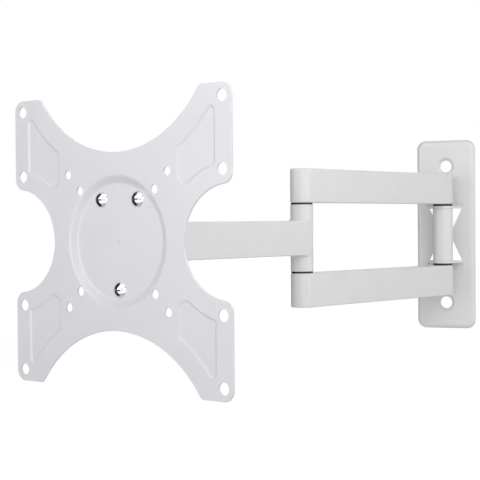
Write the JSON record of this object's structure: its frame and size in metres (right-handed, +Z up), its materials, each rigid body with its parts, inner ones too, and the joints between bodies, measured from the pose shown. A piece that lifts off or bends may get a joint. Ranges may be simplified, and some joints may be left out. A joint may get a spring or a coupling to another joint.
{
  "type": "monitor wall arm",
  "caption": "Folding wall arm for a monitor: wall plate, double rear bars, forearm, and a swivelling and tilting head with an X-shaped screen plate.",
  "frame": {"origin": "middle of the wall plate's back, between its two wall screw holes", "axes": "+Z up, +Y into the wall, +X to the right when facing the wall"},
  "size_m": [0.2984, 0.4708, 0.218],
  "materials": {
    "white_paint": "satin powder coat",
    "black_nylon": "matt",
    "white_plastic": "matt",
    "zinc_steel": "bright zinc",
    "chrome_screw": "polished"
  },
  "bodies": {
    "wall": {"wall_plate": "white_paint", "wall_spacer_tube": "white_paint", "wall_bolt": "zinc_steel", "wall_nut": "zinc_steel", "wall_washer_upper": "black_nylon", "wall_washer_lower": "black_nylon"},
    "rear_arms": {"rear_arm_upper": "white_paint", "rear_arm_lower": "white_paint", "wall_bush_upper": "black_nylon", "wall_bush_lower": "black_nylon", "wall_cap_upper": "white_plastic", "wall_cap_lower": "white_plastic", "elbow_cap_upper": "white_plastic", "elbow_cap_lower": "white_plastic", "elbow_bolt": "zinc_steel", "elbow_nut": "zinc_steel"},
    "forearm": {"forearm": "white_paint", "elbow_bush_upper": "black_nylon", "elbow_bush_lower": "black_nylon", "elbow_washer_upper": "black_nylon", "elbow_washer_lower": "black_nylon", "head_bush_upper": "black_nylon", "head_bush_lower": "black_nylon"},
    "head": {"swivel_bracket": "white_paint", "head_bolt": "zinc_steel", "head_nut": "zinc_steel", "head_washer_upper": "black_nylon", "head_washer_lower": "black_nylon", "tilt_bolt": "zinc_steel", "tilt_nut": "zinc_steel", "tilt_spacer": "zinc_steel", "tilt_washer_right": "black_nylon", "tilt_washer_left": "black_nylon", "guide_screw_right": "zinc_steel", "guide_screw_left": "zinc_steel"},
    "screen": {"tilt_bracket": "white_paint", "screen_plate": "white_paint", "plate_screw_left": "chrome_screw", "plate_nut_left": "zinc_steel", "plate_screw_right": "chrome_screw", "plate_nut_right": "zinc_steel", "plate_screw_bottom": "chrome_screw", "plate_nut_bottom": "zinc_steel"}
  },
  "joints": [
    {"name": "wall_swivel", "type": "hinge", "parent": "wall", "child": "rear_arms", "pos_m": [0, -0.021, 0], "axis": [0, 0, 1], "range_deg": [-66.1, 113.9]},
    {"name": "elbow_swivel", "type": "hinge", "parent": "rear_arms", "child": "forearm", "pos_m": [-0.08873, -0.22122, 0], "axis": [0, 0, 1], "range_deg": [-123.74, 116.26]},
    {"name": "head_swivel", "type": "hinge", "parent": "forearm", "child": "head", "pos_m": [-0.15024, -0.38879, 0], "axis": [0, 0, 1], "range_deg": [-91.46, 88.54]},
    {"name": "head_tilt", "type": "hinge", "parent": "head", "child": "screen", "pos_m": [-0.15922, -0.41531, 0], "axis": [0.9472, -0.3206, 0], "range_deg": [-15, 15]}
  ]
}
